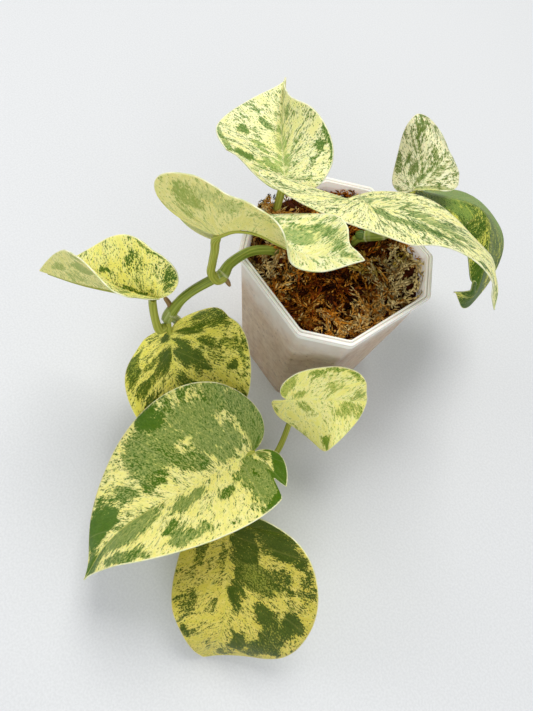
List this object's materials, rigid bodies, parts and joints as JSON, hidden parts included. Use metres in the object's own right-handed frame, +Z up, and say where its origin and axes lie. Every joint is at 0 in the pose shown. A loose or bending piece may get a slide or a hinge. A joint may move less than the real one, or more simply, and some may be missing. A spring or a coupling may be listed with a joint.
{
  "type": "potted scindapsus",
  "caption": "Trailing house plant with cream and green variegated heart-shaped leaves, in moss in a small square nursery pot with cut corners.",
  "frame": {"origin": "centre of the pot's flat base", "axes": "+Z up out of the pot, X and Y square to the pot's flat sides, -Y the side on which the vine trails"},
  "size_m": [0.2066, 0.2733, 0.1574],
  "materials": {
    "pot": "smooth frosted translucent plastic",
    "moss": "loose dried moss fibres",
    "stem": "smooth fleshy stem",
    "leaf": "satin leaf, cream with green marbling"
  },
  "bodies": {
    "root": {"pot": "pot", "moss": "moss", "vine": "stem", "petiole_upper": "stem", "far_stem": "stem", "leaf_upper": "leaf", "leaf_long": "leaf", "leaf_arched": "leaf", "leaf_left": "leaf", "leaf_middle": "leaf", "leaf_largest": "leaf", "leaf_small": "leaf", "leaf_lowest": "leaf", "leaf_upright": "leaf", "leaf_drooping": "leaf"}
  },
  "joints": []
}
